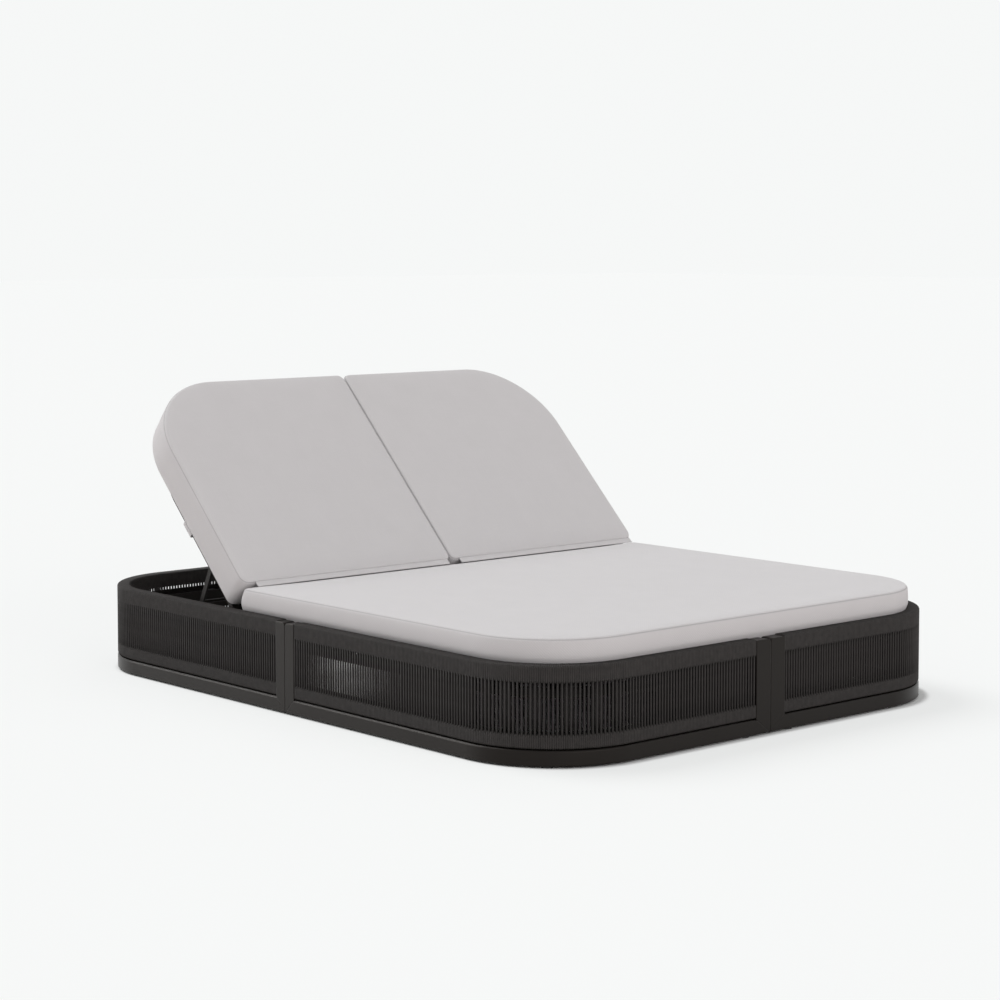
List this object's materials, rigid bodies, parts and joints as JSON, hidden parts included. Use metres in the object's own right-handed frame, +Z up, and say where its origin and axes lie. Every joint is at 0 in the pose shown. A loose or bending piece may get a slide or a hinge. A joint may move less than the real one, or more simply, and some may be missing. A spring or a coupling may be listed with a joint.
{
  "type": "double chaise lounger",
  "caption": "Low double sun lounger: rope-walled metal frame with rounded corners, wide seat cushion, and split backs that recline separately on folding stays.",
  "frame": {"origin": "on the floor under the centre of the frame", "axes": "+Z up, +Y from the foot end to the head end, +X across the width, to the right of someone lying on the seat"},
  "size_m": [1.6, 2.085, 0.8549],
  "materials": {
    "frame_metal": "satin dark bronze powder coat",
    "deck_metal": "satin dark powder coat",
    "rope": "round woven outdoor rope, charcoal",
    "cushion_fabric": "plain woven outdoor fabric, warm light grey",
    "glide_plastic": "moulded black",
    "pad_rubber": "moulded black",
    "pin_steel": "plain stainless"
  },
  "bodies": {
    "base": {"base_rail_foot_left": "frame_metal", "base_rail_foot_right": "frame_metal", "base_rail_head_left": "frame_metal", "base_rail_head_right": "frame_metal", "deck_rail_foot_left": "deck_metal", "deck_rail_foot_right": "deck_metal", "deck_rail_head_left": "deck_metal", "deck_rail_head_right": "deck_metal", "end_post_foot_left": "frame_metal", "end_post_foot_right": "frame_metal", "end_post_head_left": "frame_metal", "end_post_head_right": "frame_metal", "glide_feet": "glide_plastic", "head_lips_left": "deck_metal", "head_lips_right": "deck_metal", "hinge_beam": "deck_metal", "hinge_lugs": "deck_metal", "hinge_pins": "pin_steel", "link_plates": "deck_metal", "link_screws": "pin_steel", "rack_beams": "deck_metal", "racks_left": "deck_metal", "racks_right": "deck_metal", "rest_pads": "pad_rubber", "rope_panel_foot_left": "rope", "rope_panel_foot_right": "rope", "rope_panel_head_left": "rope", "rope_panel_head_right": "rope", "rope_rails_foot_left": "deck_metal", "rope_rails_foot_right": "deck_metal", "rope_rails_head_left": "deck_metal", "rope_rails_head_right": "deck_metal", "seat_cushion": "cushion_fabric", "seat_slats": "deck_metal", "seat_spine": "deck_metal", "side_post_foot_left": "frame_metal", "side_post_foot_right": "frame_metal", "side_post_head_left": "frame_metal", "side_post_head_right": "frame_metal"},
    "back_left": {"back_bottom_bar_left": "deck_metal", "back_side_bars_left": "deck_metal", "back_slats_left": "deck_metal", "back_top_bar_left": "deck_metal", "stay_mounts_left": "deck_metal", "stay_pins_left": "pin_steel"},
    "back_right": {"back_bottom_bar_right": "deck_metal", "back_side_bars_right": "deck_metal", "back_slats_right": "deck_metal", "back_top_bar_right": "deck_metal", "stay_mounts_right": "deck_metal", "stay_pins_right": "pin_steel"},
    "cushion_left": {"back_cushion_left": "cushion_fabric", "cushion_loops_left": "cushion_fabric"},
    "cushion_right": {"back_cushion_right": "cushion_fabric", "cushion_loops_right": "cushion_fabric"},
    "stay_left": {"stay_arms_left": "deck_metal", "stay_rods_left": "deck_metal"},
    "stay_right": {"stay_arms_right": "deck_metal", "stay_rods_right": "deck_metal"}
  },
  "joints": [
    {"name": "back_left_hinge", "type": "hinge", "parent": "base", "child": "back_left", "pos_m": [-0.3765, 0.2815, 0.184], "axis": [1, 0, 0], "range_deg": [-45, 4]},
    {"name": "cushion_left_slide", "type": "slide", "parent": "back_left", "child": "cushion_left", "axis": [0, 0.7071, 0.7071], "range_m": [-0.0928, 0.0084]},
    {"name": "stay_left_fold", "type": "hinge", "parent": "back_left", "child": "stay_left", "pos_m": [-0.3765, 0.4843, 0.3868], "axis": [1, 0, 0], "range_deg": [-9.8, 110.26]},
    {"name": "back_right_hinge", "type": "hinge", "parent": "base", "child": "back_right", "pos_m": [0.3765, 0.2815, 0.184], "axis": [1, 0, 0], "range_deg": [-45, 4]},
    {"name": "cushion_right_slide", "type": "slide", "parent": "back_right", "child": "cushion_right", "axis": [0, 0.7071, 0.7071], "range_m": [-0.0928, 0.0084]},
    {"name": "stay_right_fold", "type": "hinge", "parent": "back_right", "child": "stay_right", "pos_m": [0.3765, 0.4843, 0.3868], "axis": [1, 0, 0], "range_deg": [-9.8, 110.26]}
  ],
  "couplings": [
    {"joint": "cushion_left_slide", "follows": "back_left_hinge", "m_per_rad": 0.11803},
    {"joint": "stay_left_fold", "follows": "back_left_hinge", "ratio": -2.45},
    {"joint": "cushion_right_slide", "follows": "back_right_hinge", "m_per_rad": 0.11803},
    {"joint": "stay_right_fold", "follows": "back_right_hinge", "ratio": -2.45}
  ]
}
